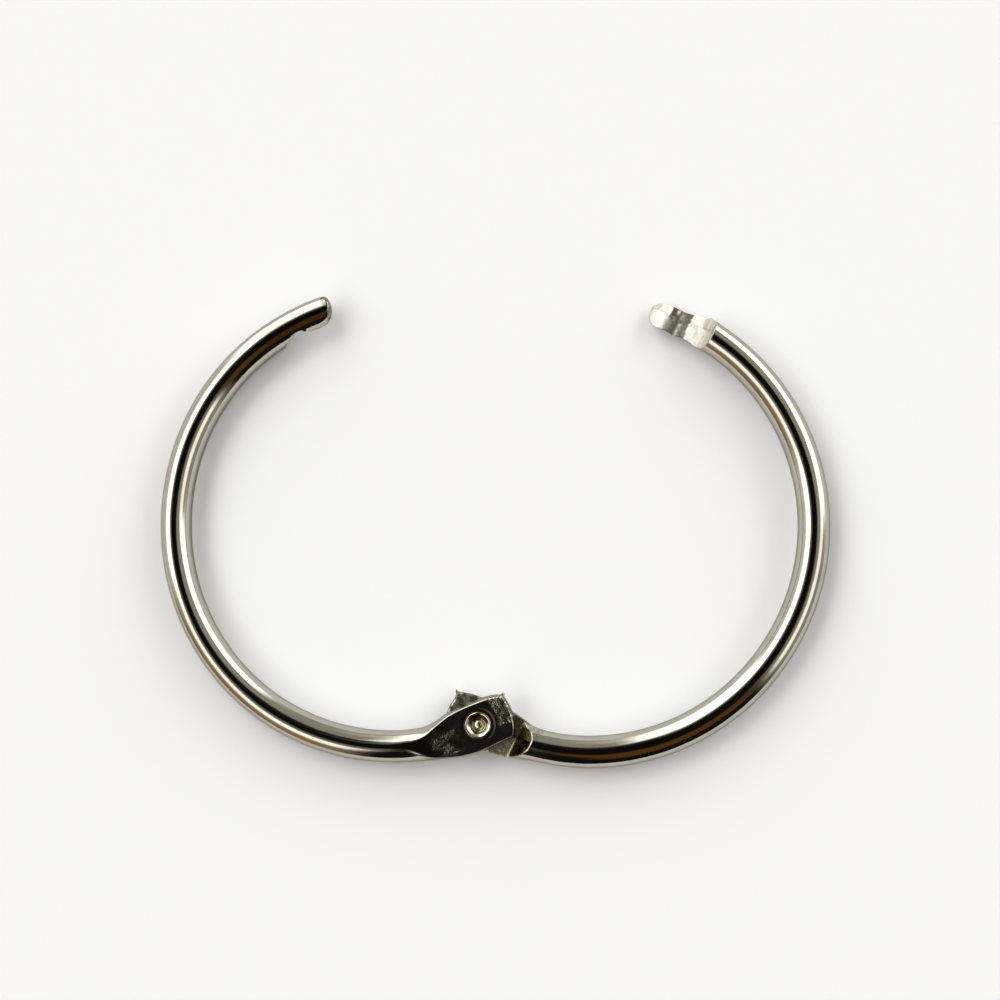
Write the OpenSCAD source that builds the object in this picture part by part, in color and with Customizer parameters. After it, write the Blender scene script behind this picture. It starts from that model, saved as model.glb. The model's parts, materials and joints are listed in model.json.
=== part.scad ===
// Hinged binder ring of round steel wire, lying flat and half open.
// X runs across the opening, Y from the hinge towards the free ends, Z up.
// The ring's mid-plane is one wire radius above the surface it lies on.

/* [Ring] */
// Inner diameter of the closed ring
ring_inner_d = 50; // [38:1:63]
// Diameter of the round wire
wire_d = 3.7; // [3.5:0.1:4]
// Angle between the halves as stored, 0 is closed
open_angle = 50; // [0:1:110]

/* [Hinge] */
// How far the rivet's axis lies inside the wire's centreline
hinge_inset = 0.45; // [0.3:0.05:0.6]
// Thickness of each pressed tab
tab_t = 1.6; // [1.4:0.05:1.65]
// Distance from the rivet's axis to the tab's end
tab_end = 4.25; // [4:0.05:4.3]
// Radius of the tab's slightly rounded end
tab_end_r = 6; // [5:0.5:9]
// Spread of the pressed tab past the wire on the inside of the ring
spread_in = 1.4; // [1:0.1:1.6]
// Spread of the front tab past the wire on the outside of the ring
spread_out_front = 0.7; // [0.4:0.1:0.9]
// Spread of the rear tab past the wire on the outside of the ring
spread_out_rear = 0.4; // [0.3:0.1:0.9]
// Distance from the rivet's axis to the foot of the shoulder
shoulder_foot = 4.65; // [4.65:0.05:5.2]
// Run of the shoulder's slope, from its foot to the full wire
shoulder_run = 1.7; // [1.2:0.1:2.2]
// Play between the two tabs
tab_gap = 0.04; // [0.02:0.01:0.08]

/* [Rivet] */
// Radius of the rivet's shank
shank_r = 1.2; // [1.1:0.05:1.3]
// Radial play between the shank and the turning tab
shank_play = 0.05; // [0.02:0.01:0.08]
// Radius of the rivet's hollow
hollow_r = 0.84; // [0.7:0.02:0.9]
// Depth of the hollow below the front tab's face
hollow_depth = 0.8; // [0.6:0.1:2]
// Height of the rolled rim above the front tab
rim_h = 0.36; // [0.3:0.02:0.4]
// Radius of the low head at the back
head_r = 2.2; // [1.9:0.1:2.3]

/* [Closure] */
// Where the middle of the lap lies, counted round the ring from the hinge
lap_mid = 181.3; // [180:0.1:182]
// Half the length of the lap, as an angle of the ring
lap_half = 7.6; // [7:0.1:8.2]
// Tilt of the lap's outer face towards the outside of the ring
lap_tilt = 36; // [25:1:42]
// Tilt of the lap's inner face towards the outside of the ring
lap_flat = 4; // [1:1:8]
// How far the ridge between the two faces lies outside the wire's centreline
ridge_out = 0.2; // [0:0.05:0.5]
// Depth of the ridge below the ring's mid-plane
ridge_low = 0.08; // [0.04:0.02:0.3]
// Play between the crests of the two free ends
crest_gap = 0.04; // [0.02:0.01:0.08]
// Depth of the cross groove in the tongue
groove_depth = 0.4; // [0.3:0.02:0.5]
// Height of the notch behind the hook
notch_h = 0.8; // [0.3:0.05:0.9]
// Radius of the tips' rounding
tip_r = 2.4; // [2.1:0.1:2.8]

/* [Hidden] */
$fn = 96;
wire_r = wire_d / 2;
mid_r = ring_inner_d / 2 + wire_r;      // radius of the wire's centreline
out_r = mid_r + wire_r;                 // outer radius of the ring
in_r = mid_r - wire_r;                  // inner radius of the ring
ring_y = mid_r - hinge_inset;           // ring's centre above the rivet's axis
mm_deg = mid_r * PI / 180;              // arc length of one degree
lap_u = lap_half * mm_deg;              // half length of the lap
tip_play = 0.3;                         // room at each end of the lap, degrees
tip_deg = lap_half - tip_play;          // reach of each free end past the lap's middle
cap_deg = tip_r / mm_deg;               // from a tip's end back to the centre of its rounding
y_low = ring_y * cos(open_angle / 2) - out_r;
y_high = ring_y * cos(open_angle / 2)
       + out_r * cos(max(0, open_angle / 2 - tip_deg + 1));
y_shift = -(y_low + y_high) / 2;        // brings the middle of the outline to Y = 0

function ease(t) = t <= 0 ? 0 : t >= 1 ? 1 : t * t * (3 - 2 * t);

// Edges of the tab, in the closed ring, wire running to +X
function edge_in(x) = x < 0
    ? ring_y - in_r + spread_in - 0.75 * pow(x / 4, 2)
    : ring_y - sqrt(in_r * in_r - x * x) + spread_in * (1 - ease((x - 2.8) / 4.8));
function edge_out(x, spread) = x < 0
    ? ring_y - out_r - spread
    : ring_y - sqrt(out_r * out_r - x * x) - spread * (1 - ease((x - 1) / 5.8));
function end_x(y) = -tab_end + tab_end_r - sqrt(tab_end_r * tab_end_r - pow(y - 0.3, 2));

module tab_outline(spread) {
    y0 = edge_out(-3, spread);
    y1 = edge_in(-4);
    polygon(concat(
        [for (i = [0 : 12]) let (y = y1 + (y0 - y1) * i / 12) [end_x(y), y]],
        [for (x = [-2 : 1 : 8]) [x, edge_out(x, spread)]],
        [for (x = [8 : -0.8 : -3.2]) [x, edge_in(x)]]
    ));
}

// Round wire from one angle of the ring to another, angles counted from the hinge
module wire(a0, a1) {
    translate([0, ring_y, 0])
        rotate([0, 0, a0 - 90])
            rotate_extrude(angle = a1 - a0)
                translate([mid_r, 0]) circle(r = wire_r);
}

// What is rounded off past the free end, the rounding centred at angle a
module past_tip(a) {
    translate([0, ring_y, 0])
        rotate([0, 0, a - 90])
            translate([mid_r, 0, 0])
                difference() {
                    translate([-4, 0, -4]) cube([8, 8, 8]);
                    sphere(r = tip_r);
                }
}

// Side-on profile, drawn in X and Z and extruded across the tab
module across(pts) {
    translate([0, 12, 0]) rotate([90, 0, 0]) linear_extrude(height = 24) polygon(pts);
}

// Wire with its hinge end: a tab below the mid-plane, its lap face upwards, the wire
// running to +X and round to the tip whose rounding is centred at angle a
module half_wire(a, spread) {
    foot = shoulder_foot;
    difference() {
        union() {
            wire(3, a + cap_deg + 1);
            translate([0, 0, -tab_t]) linear_extrude(height = tab_t) tab_outline(spread);
        }
        // lap face and the shoulder that climbs from it
        across([[-8, -tab_gap / 2], [foot, -tab_gap / 2],
                [foot + shoulder_run, wire_r + 0.01],
                [foot + shoulder_run, 4], [-8, 4]]);
        // flat outer face that runs out into the round wire
        across([[-8, -tab_t], [shoulder_foot + 0.4, -tab_t],
                [9.2, -wire_r - 0.01], [9.2, -4], [-8, -4]]);
        past_tip(a);
    }
}

// Cutter for one face of the lap, tilted about the ridge: its profile is drawn
// along the ring (first number) and out of the lap's face (second number)
module lap(tilt, lift, pts) {
    translate([0, ring_y, 0])
        rotate([0, 0, lap_mid - 90])
            translate([mid_r + ridge_out, 0, lift - ridge_low])
                rotate([0, tilt, 0])
                    rotate([90, 0, 90])
                        translate([0, 0, -8]) linear_extrude(height = 16) polygon(pts);
}

// What is pressed away above the tongue: plateau, cross groove, head and nose
module above_tongue(tilt) {
    lap(tilt, 0, [[-lap_u - 0.62, 3], [-lap_u + 0.04, 0],
                  [-1.35, 0], [-0.12, -groove_depth], [0.12, -groove_depth], [1.35, 0],
                  [2.6, 0], [3.6, -0.55], [6, -3],
                  [6, 6], [-lap_u - 0.62, 6]]);
}

// What is pressed away below the hook: the hook's face, the notch and its rear slope
module below_hook(tilt) {
    lap(tilt, crest_gap, [[-8, 0], [-0.15, 0], [0.3, 0.5 * notch_h], [0.75, 0.9 * notch_h],
                          [1.15, notch_h], [1.9, notch_h], [2.5, 0.75 * notch_h],
                          [3.1, 0.2 * notch_h], [3.74, -0.42], [lap_u + 0.6, -3],
                          [lap_u + 0.6, -6], [-8, -6]]);
}

// Right half in the closed ring: tab behind, ridged tongue with a head and a cross groove
module right_closed() {
    end = lap_mid + tip_deg - cap_deg;
    difference() {
        half_wire(end, spread_out_rear);
        translate([0, 0, -4]) cylinder(r = shank_r + shank_play, h = 8);
        above_tongue(lap_tilt);
        above_tongue(lap_flat);
    }
}

// Left half in the closed ring: tab in front, free end with a hook and a notch
module left_closed() {
    end = 360 - lap_mid + tip_deg - cap_deg;
    difference() {
        rotate([0, 180, 0]) half_wire(end, spread_out_front);
        translate([0, 0, -4]) cylinder(r = shank_r, h = 8);
        intersection() {
            below_hook(lap_tilt);
            below_hook(lap_flat);
        }
    }
}

module placed() {
    translate([0, y_shift, wire_r]) children();
}

module left_half() {
    color([0.72, 0.72, 0.68])
        placed() rotate([0, 0, open_angle / 2]) left_closed();
}

module right_half() {
    color([0.66, 0.66, 0.62])
        placed() rotate([0, 0, -open_angle / 2]) right_closed();
}

// Semi-tubular rivet: low head at the back, shank, and a rolled rim round the hollow
module rivet() {
    under = -tab_t - tab_gap / 2;
    color([0.8, 0.79, 0.74])
        placed() difference() {
            union() {
                translate([0, 0, under - 0.02]) cylinder(r = shank_r, h = tab_t - under + 0.12);
                // low head with a bevelled edge
                rotate_extrude()
                    polygon([[0, under], [head_r, under], [head_r, under - 0.08],
                             [head_r - 0.3, -wire_r], [0, -wire_r]]);
                // rolled rim
                intersection() {
                    translate([0, 0, tab_t]) rotate_extrude()
                        translate([shank_r, 0]) circle(r = rim_h);
                    translate([0, 0, tab_t]) cylinder(r = 4, h = 2);
                }
            }
            translate([0, 0, tab_t - hollow_depth]) cylinder(r = hollow_r, h = hollow_depth + 2);
            // shallow cone at the bottom of the hollow
            translate([0, 0, tab_t - hollow_depth - 0.15])
                cylinder(r1 = 0.05, r2 = hollow_r, h = 0.151);
        }
}

left_half();
right_half();
rivet();
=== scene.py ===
# A hinged binder ring of plated steel wire, lying half open.
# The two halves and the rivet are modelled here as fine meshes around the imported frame.
import json
import math

import bpy
import numpy as np
from mathutils import Matrix, Vector


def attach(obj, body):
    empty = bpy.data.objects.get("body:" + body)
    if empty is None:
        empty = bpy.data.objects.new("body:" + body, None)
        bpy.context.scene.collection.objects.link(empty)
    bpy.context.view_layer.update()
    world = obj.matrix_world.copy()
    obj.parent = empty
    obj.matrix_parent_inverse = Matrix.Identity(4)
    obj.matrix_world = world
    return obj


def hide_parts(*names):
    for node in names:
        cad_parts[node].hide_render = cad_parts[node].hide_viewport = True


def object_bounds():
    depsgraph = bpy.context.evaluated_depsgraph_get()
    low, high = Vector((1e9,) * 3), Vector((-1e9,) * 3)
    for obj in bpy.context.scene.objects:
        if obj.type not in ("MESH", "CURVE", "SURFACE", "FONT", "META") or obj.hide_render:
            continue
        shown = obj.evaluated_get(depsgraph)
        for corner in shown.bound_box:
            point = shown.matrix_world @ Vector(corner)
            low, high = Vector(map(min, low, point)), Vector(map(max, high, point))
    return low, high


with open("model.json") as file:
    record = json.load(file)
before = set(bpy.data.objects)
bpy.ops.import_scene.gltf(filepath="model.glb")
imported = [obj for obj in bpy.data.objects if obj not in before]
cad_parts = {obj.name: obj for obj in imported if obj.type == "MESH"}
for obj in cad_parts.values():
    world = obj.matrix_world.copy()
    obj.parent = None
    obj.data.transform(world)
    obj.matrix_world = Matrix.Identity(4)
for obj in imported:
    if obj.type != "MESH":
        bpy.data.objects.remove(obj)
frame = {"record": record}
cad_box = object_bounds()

# ---------------------------------------------------------------- frame
joint = frame["record"]["behaviour"]["joints"][0]
PIVOT = np.array(joint["pos_m"]) * 1000                 # rivet's axis at the ring's mid-plane, mm
OPEN = joint["range_deg"][1] / 2                      # each half's turn from the closed ring, degrees

# ---------------------------------------------------------------- sizes, mm
# Each half is worked out in the closed ring: rivet's axis at the origin, wire running
# to +X, tab below the mid-plane. The left half is then turned over about Y.
RING_Y, MID, WIRE = 26.4, 26.85, 1.85
MM_DEG = MID * math.pi / 180
LAP = {"R": 181.3, "L": 178.7}                        # middle of the lap, swept from the hinge
TIP = {"R": 189.02, "L": 186.05}                       # where each free end stops
FACE_Z = 1.6                                          # tab's outer face below the mid-plane
TAB_X = {"L": 4.20, "R": 4.22}
FOOT = {"L": 4.68, "R": 4.62}
HOLE = {"L": 1.2, "R": 1.25}


def ease(t):
    t = np.clip(t, 0.0, 1.0)
    return t * t * (3 - 2 * t)


def smin(a, b, k):
    h = np.maximum(k - np.abs(a - b), 0.0) / k
    return np.minimum(a, b) - h * h * k * 0.25


def smax(a, b, k):
    h = np.maximum(k - np.abs(a - b), 0.0) / k
    return np.maximum(a, b) + h * h * k * 0.25


def curve(points, sigma=0.0, step=0.01):
    """A smooth function through a few points."""
    p = np.array(points, float)
    xs = np.arange(p[0, 0], p[-1, 0] + step / 2, step)
    ys = np.interp(xs, p[:, 0], p[:, 1])
    if sigma:
        n = int(3 * sigma / step) + 1
        k = np.exp(-0.5 * (np.arange(-n, n + 1) * step / sigma) ** 2)
        k /= k.sum()
        ys = np.convolve(np.concatenate([
            ys[0] + (ys[1] - ys[0]) * np.arange(-n, 0), ys,
            ys[-1] + (ys[-1] - ys[-2]) * np.arange(1, n + 1)]), k, "valid")
    return lambda x: np.interp(x, xs, ys)


# how the hand-bent wire leaves the true circle, by sweep in degrees
DRIFT = {
    "R": curve([(0, 0), (5, 0), (8, -0.12), (12, -0.40), (15, -0.46), (20, -0.37), (26, -0.27), (32, -0.21),
                (38, -0.15), (44, -0.09), (54, -0.03), (66, 0), (90, 0), (125, 0), (146, -0.03), (158, -0.06),
                (170, -0.09), (200, -0.09)], 1.6, 0.1),
    "L": curve([(0, 0), (54, 0), (80, -0.10), (108, -0.20), (122, -0.16), (134, -0.04), (146, 0.05), (158, 0.10),
                (166, 0.09), (174, 0.02), (200, 0)], 3.0, 0.1),
}
# the pressed tabs' edges at the lap face, y over x, and how far the walls lean to the outer face
INNER = {
    "L": curve([(-5, 1.95), (-4.1, 2.14), (-3.4, 2.42), (-2.6, 2.68), (-1.6, 2.82), (0, 2.91), (1.6, 2.88),
                (2.9, 2.80), (4.2, 2.55), (5.2, 2.36), (6.4, 2.20), (9, 2.6), (12, 3.0)], 0.30),
    "R": curve([(-5, 2.0), (-4.2, 2.22), (-3.45, 2.48), (-2.7, 2.72), (-1.6, 2.92), (0, 3.08), (1.6, 3.16),
                (3.2, 3.13), (4.4, 2.97), (5.4, 2.75), (6.4, 2.60), (9, 2.6), (12, 3.0)], 0.26),
}
INNER_BAND = {
    "L": curve([(-5, 0.30), (-4, 0.32), (-2.5, 0.40), (0, 0.44), (2, 0.42), (3.4, 0.50), (5.2, 0.66), (7, 1.2), (12, 2)], 0.2),
    "R": curve([(-5, 0.30), (-4, 0.34), (-2.5, 0.42), (0, 0.45), (2, 0.45), (3.4, 0.52), (5.2, 0.70), (7, 1.2), (12, 2)], 0.2),
}
OUTER = {
    "L": curve([(-5, -2.80), (-3.3, -2.92), (-2.2, -2.90), (-0.9, -2.95), (0.4, -2.99), (1.8, -2.89), (3.3, -2.62),
                (5.1, -2.06), (6.9, -1.40), (9, -0.6), (12, 1)], 0.25),
    "R": curve([(-5, -2.50), (-3.3, -2.66), (-1.6, -2.70), (0, -2.66), (2.0, -2.42), (3.2, -2.14), (4.4, -1.80),
                (6, -1.20), (9, 0.2), (12, 1.5)], 0.25),
}
OUTER_BAND = {"L": curve([(-5, 0.26), (-2, 0.22), (1, 0.16), (4, 0.14), (12, 0.3)], 0.2),
              "R": curve([(-5, 0.26), (-2, 0.22), (1, 0.20), (4, 0.30), (12, 0.5)], 0.2)}
# the tabs' ends, x over y
END = {
    "L": curve([(-5, -2.2), (-3, -3.32), (-1.8, -3.92), (-0.6, -4.18), (0.3, -4.20), (1.2, -4.12), (2.2, -3.94), (3, -3.7), (5, -3)], 0.35),
    "R": curve([(-5, -2.4), (-3, -3.5), (-1.8, -3.92), (-0.6, -4.14), (0.4, -4.22), (1.2, -4.06), (1.8, -4.10), (2.3, -4.24), (3, -4.30), (5, -4.3)], 0.22),
}


def end_surface(half, y, z):
    lean = 0.20 if half == "L" else 0.18
    return END[half](y) + lean * np.clip(-z / FACE_Z, 0, 1.2) ** 1.6


def blob(x, y, z, c, r):
    return np.sqrt((x - c[0]) ** 2 + (y - c[1]) ** 2 + (z - c[2]) ** 2) - r


def hinge_sdf(half, x, y, z):
    """Wire with its pressed tab, lap face and shoulder."""
    th = np.where(x > 0, np.degrees(np.arctan2(np.maximum(x, 0), RING_Y - y)), 0)
    q = np.hypot(x, y - RING_Y) - MID - DRIFT[half](th)
    torus = np.maximum(np.hypot(q, z) - WIRE, 0.5 - x)
    zt = np.clip(-z / FACE_Z, 0, 1.2) ** 1.5
    wall_in = (y - (INNER[half](x) - INNER_BAND[half](x) * zt)) * 0.95
    wall_out = ((OUTER[half](x) + OUTER_BAND[half](x) * zt) - y) * 0.97
    end = (end_surface(half, y, z) - x) * 0.95
    slab = smax(wall_in, wall_out, 0.1)
    slab = smax(slab, end, 0.09)
    slab = smax(slab, np.hypot(q, z) - WIRE + 0.05 + 0.9 * ease((x - 7.4) / 3) - 2.4 * (1 - ease((x - 3.0) / 5.4)), 0.5)
    slab = smax(slab, z - 0.15, 0.7)
    solid = smin(torus, slab, 0.57)
    if half == "R":      # burrs squeezed out at the corner and the end of the rear tab
        solid = smin(solid, blob(x, y, z, (-4.22, 2.24, -0.20), 0.11), 0.16)
        solid = smin(solid, blob(x, y, z, (-4.12, 2.10, -0.42), 0.13), 0.22)
    else:
        solid = smin(solid, blob(x, y, z, (-3.96, 2.16, -0.35), 0.14), 0.26)
    slope = math.radians(47)
    ramp = (z + 0.02) * math.cos(slope) - (x - FOOT[half]) * math.sin(slope)
    solid = smax(solid, smin(z + 0.02, ramp, 0.22), 0.10)
    run = smin(-FACE_Z - z, -FACE_Z - 0.066 * (x - 5.05) - z, 0.1)
    return smax(solid, run, 0.13)


# the lap's profile along the ring, mm out of the lap's face
PROFILE = {
    "R": curve([(-9, 20), (-4.85, 2.6), (-4.42, 1.25), (-4.06, 0.42), (-3.78, 0.06), (-3.5, 0.01), (-1.62, -0.23), (-0.50, -0.52),
                (-0.22, -0.52), (1.05, -0.02), (1.4, -0.01), (2.3, -0.18), (2.9, -0.40), (3.5, -0.85), (6, -4)], 0.055),
    "outer": curve([(-9, 20), (-4.42, 3.4), (-3.95, 1.9), (-3.45, 0.72), (-3.12, 0.14), (-2.9, 0.01), (-1.6, -0.10), (-0.50, -0.42),
                    (-0.22, -0.42), (1.05, -0.02), (1.4, 0), (2.3, -0.08), (2.9, -0.24), (3.5, -0.6), (6, -3.2)], 0.055),
    "L": curve([(-9, -26), (-4.2, -3.0), (-3.66, -0.25), (-2.95, 0.50), (-2.35, 0.92), (-1.75, 1.04), (-1.2, 1.04), (-0.72, 0.84),
                (-0.42, 0.56), (-0.10, 0.10), (0.18, 0), (9, 0)], 0.07),
}


def lap_point(half, u, v):
    a = math.radians(LAP[half])
    return (math.sin(a) * (MID + v) + math.cos(a) * u, RING_Y - math.cos(a) * (MID + v) + math.sin(a) * u)


def free_sdf(half, x, y, z):
    """Wire with its free end: ridged tongue on the right half, hook on the left."""
    th = np.degrees(np.arctan2(x, RING_Y - y)) % 360
    dr = DRIFT[half](th)
    q = np.hypot(x, y - RING_Y) - MID - dr
    wire = np.hypot(q, z) - WIRE
    a = math.radians(LAP[half])
    rx, ry, tx, ty = math.sin(a), -math.cos(a), math.cos(a), math.sin(a)
    u = x * tx + (y - RING_Y) * ty
    v = x * rx + (y - RING_Y) * ry - MID - dr - 0.2
    ua = (th - TIP[half]) * MM_DEG
    s1, c1, s2, c2 = (f(math.radians(t)) for t in (36, 4) for f in (math.sin, math.cos))
    if half == "R":
        # metal pushed aside by the press
        wire = wire - (0.22 * np.exp(-((u + 0.42) / 0.52) ** 2) + 0.13 * np.exp(-((u + 3.3) / 0.95) ** 2)) \
            * ease(0.7 - z) * ease(1.3 + z) * ease(0.2 - v) - 0.42 * np.exp(-((u + 2.6) / 1.15) ** 2) * ease((v - 0.6) / 0.4)
        wire = smax(wire, ua + 0.05 * (v + 0.2) ** 2, 1.7)
        g1 = PROFILE["outer"](u)
        g1 = np.where(g1 < 0, g1 * (1 - 0.72 * ease((v - 0.15) / 1.1) * ease((1.5 - u) / 0.5)), g1)
        f = smax(v * s1 + (z + 0.08) * c1 - g1, v * s2 + (z + 0.08) * c2 - PROFILE["R"](u), 0.16) * 0.8
        return smax(wire, f, 0.20)
    # the end is cut nearly square and rounded at its corners
    plan = smax(ua - 0.13 * q, np.abs(q) - 1.98, 2.05 - 0.15 * np.tanh(q / 0.4))
    wire = smax(wire, plan, 0.35)
    g = PROFILE["L"](u)
    relief = 1.9 * np.maximum(0, u - 2.80)     # room for the ramp of the other half
    f = smin((z - 0.04) * c1 - v * s1 + g + relief, (z - 0.04) * c2 - v * s2 + g, 0.16) * 0.8
    solid = smax(wire, f, 0.16)
    c = lap_point("L", -0.58, -1.50)   # a crumb of metal at the heel of the hook
    return smin(solid, blob(x, y, z, (c[0], c[1], -0.86), 0.17), 0.16)


# ---------------------------------------------------------------- seeded noise
def _hash(ix, iy, iz, seed):
    h = (ix * 374761393 + iy * 668265263 + iz * 2147483647 + seed * 144665) & 0xFFFFFFFF
    h = ((h ^ (h >> 13)) * 1274126177) & 0xFFFFFFFF
    h = ((h ^ (h >> 16)) * 2246822519) & 0xFFFFFFFF
    return ((h ^ (h >> 15)) & 0xFFFFFF) / float(0xFFFFFF) * 2 - 1


def noise(x, y, z, scale, seed=0):
    """Smooth noise from -1 to 1, one cell every scale mm."""
    x, y, z = x / scale + 1000.5, y / scale + 1000.5, z / scale + 1000.5
    ix, iy, iz = (np.floor(t).astype(np.int64) for t in (x, y, z))
    fx, fy, fz = x - ix, y - iy, z - iz
    fx, fy, fz = (t * t * t * (t * (t * 6 - 15) + 10) for t in (fx, fy, fz))
    out = 0
    for dx in (0, 1):
        for dy in (0, 1):
            for dz in (0, 1):
                w = (fx if dx else 1 - fx) * (fy if dy else 1 - fy) * (fz if dz else 1 - fz)
                out = out + w * _hash(ix + dx, iy + dy, iz + dz, seed)
    return out


def face_marks(half, x, y, r):
    """Where the outer face of the tab is pitted and lumpy."""
    if half == "L":
        m1 = ease((x - 1.7) / 1.2) * ease((7.4 - x) / 2.0) * ease((1.4 - y + 0.05 * x) / 1.3) * ease((y + 2.6) / 0.9)
        m2 = ease((-1.85 - x) / 0.5) * ease((y + 1.35) / 0.5)
    else:
        m1 = ease((x - 1.9) / 0.9) * ease((6.2 - x) / 1.2) * 0.8
        m2 = ease((-1.95 - x) / 0.5)
    return ease((r - 2.25) / 0.25) * (m1 + m2)


def hinge_relief(half, x, y, z):
    """Marks left by the press, mm outwards."""
    face = ease((-z - 1.25) / 0.3)
    r = np.hypot(x, y)
    near = ease((7.6 - x) / 1.6)
    ring = face * (-0.034 * np.exp(-((r - 1.74) / 0.22) ** 2) + 0.006 * np.exp(-((r - 2.10) / 0.14) ** 2))
    n1 = 0.6 * noise(x * 0.62, y * 1.15, z, 0.36, 3) + 0.4 * noise(x, y, z, 0.30, 4)
    smear = 0.7 * noise(x * 0.45 + y * 0.2, y * 1.1 - x * 0.1, z, 0.34, 5) + 0.3 * noise(x, y, z, 0.20, 6)
    strip = 0.7 * noise(x * 1.1, y * 0.6, z, 0.30, 7) + 0.3 * noise(x, y, z, 0.18, 8)
    patchy = ease(0.55 + 0.9 * noise(x * 0.7, y, z, 0.85, 10))
    n2 = noise(x * 0.7 + y * 0.7, y * 0.7 - x * 0.7, z, 0.9, 9)
    lumps = face * face_marks(half, x, y, r) * near * np.where(
        x < 0, (0.044 * strip - 0.008) * (0.35 + 0.65 * patchy), (0.030 * smear - 0.004) * (0.15 + 0.85 * patchy))
    wave = face * ease((r - 2.25) / 0.25) * near * 0.012 * n2
    lap_face = ease((z + 0.35) / 0.3) * ease((4.9 - x) / 0.5)
    marks = lap_face * (np.minimum(0.032 * n1, 0.0) - 0.004)
    walls = near * (1 - face) * (1 - lap_face) * 0.009 * n1 * ease((5.2 - x) / 1.5)
    ramp = ease((x - 4.4) / 0.3) * ease((6.7 - x) / 0.4) * ease((z + 0.15) / 0.2) * ease((1.8 - z) / 0.5) * 0.010 * n1
    return ring + lumps + wave + marks + walls + ramp


def free_relief(half, x, y, z):
    a = math.radians(LAP[half])
    u = x * math.cos(a) + (y - RING_Y) * math.sin(a)
    up = ease((z + 0.75) / 0.4) * ease((u + 4.3) / 0.5)
    n1 = noise(x, y, z, 0.34, 13)
    groove = np.exp(-((u + 0.3) / 1.1) ** 2)
    n2 = noise(x * 0.5 + y, y * 0.5 - x, z, 0.22, 14)
    return up * (np.minimum(0.012 * n1 + 0.006 * n2, 0) - 0.002 + np.minimum(groove * (0.026 * n1 + 0.012 * n2), 0.004))


def field(half, zone, x, y, z, relief=True):
    s = hinge_sdf(half, x, y, z) if zone == "hinge" else free_sdf(half, x, y, z)
    if relief:
        s = s - (hinge_relief if zone == "hinge" else free_relief)(half, x, y, z)
        s = s - 0.0025 * noise(x, y, z, 2.3, 21 if half == "R" else 31)
    return s


def gradient(half, zone, p, h=0.004):
    k = np.array([[1, -1, -1], [-1, -1, 1], [-1, 1, -1], [1, 1, 1]], float)
    g = np.zeros_like(p)
    for d in k:
        q = p + d * h
        g += d * field(half, zone, q[:, 0], q[:, 1], q[:, 2])[:, None]
    g /= 4 * h
    n = np.linalg.norm(g, axis=1)
    return g, g / np.maximum(n, 1e-12)[:, None]


def by_zone(p):
    """Rows of p that belong to the hinge's field and to the free end's."""
    far = p[:, 1] > RING_Y
    return (("hinge", ~far), ("free", far))


def settle(half, p, turns=4):
    """Move points onto the surface and return them with their normals."""
    p = p.copy()
    n = np.zeros_like(p)
    for zone, m in by_zone(p):
        if not m.any():
            continue
        q = p[m]
        for _ in range(turns):
            g, d = gradient(half, zone, q)
            f = field(half, zone, q[:, 0], q[:, 1], q[:, 2])
            q = q - d * np.clip(f / np.maximum(np.linalg.norm(g, axis=1), 0.5), -0.08, 0.08)[:, None]
        p[m] = q
        n[m] = gradient(half, zone, q)[1]
    return p, n


# ---------------------------------------------------------------- sections along the wire
def stations(half):
    s = [-TAB_X[half] + 0.04]
    while s[-1] < 13.0:
        x = s[-1]
        s.append(x + (0.035 if x < -TAB_X[half] + 0.35 else 0.08 if x < -1.9 else 0.10 if x < 2.2 else
                      0.075 if x < 7.2 else 0.12 if x < 9 else 0.25))
    lap0 = LAP[half] * MM_DEG - 4.9
    while s[-1] < lap0:
        s.append(s[-1] + min(0.62, max(0.1, (lap0 - s[-1]) * 0.3)))
    end = TIP[half] * MM_DEG - 0.42
    while s[-1] < end:
        s.append(min(s[-1] + 0.06, end + 1e-9))
    return np.array(s)


def spine(half, s):
    th = np.where(s > 0, s / MM_DEG, 0)
    a = np.radians(th)
    m = MID + DRIFT[half](th)
    cx = np.where(s > 0, m * np.sin(a), s)
    cy = np.where(s > 0, RING_Y - m * np.cos(a), RING_Y - MID) + 0.35 * (1 - ease(s / 6))
    turn = a * ease(s / 8)
    low = -0.8 * (1 - ease((s - 3.2) / 4.5)) - (0.95 if half == "R" else 1.40) * ease((s - (LAP[half] * MM_DEG - 4.9)) / 1.6)
    zero = 0 * turn
    return (np.stack([cx, cy, low], 1), np.stack([np.sin(turn), -np.cos(turn), zero], 1),
            np.stack([np.cos(turn), np.sin(turn), zero], 1))


def smooth_rows(a, n):
    k = np.exp(-0.5 * (np.arange(-3 * n, 3 * n + 1) / n) ** 2)
    k /= k.sum()
    pad = np.concatenate([np.repeat(a[:1], 3 * n, 0), a, np.repeat(a[-1:], 3 * n, 0)])
    return np.apply_along_axis(lambda c: np.convolve(c, k, "valid"), 0, pad)


def cross(outside, shape, reach, steps, halvings):
    """Distance at which each ray first leaves the solid."""
    lo, hi = np.zeros(shape), np.full(shape, np.nan)
    for i in range(1, steps + 1):
        r = reach * i / steps
        out = outside(np.full(shape, r))
        hi[out & np.isnan(hi)] = r
        lo[np.isnan(hi)] = r
    hi = np.where(np.isnan(hi), reach, hi)
    for _ in range(halvings):
        m = (lo + hi) / 2
        out = outside(m)
        hi, lo = np.where(out, m, hi), np.where(out, lo, m)
    return (lo + hi) / 2


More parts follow.
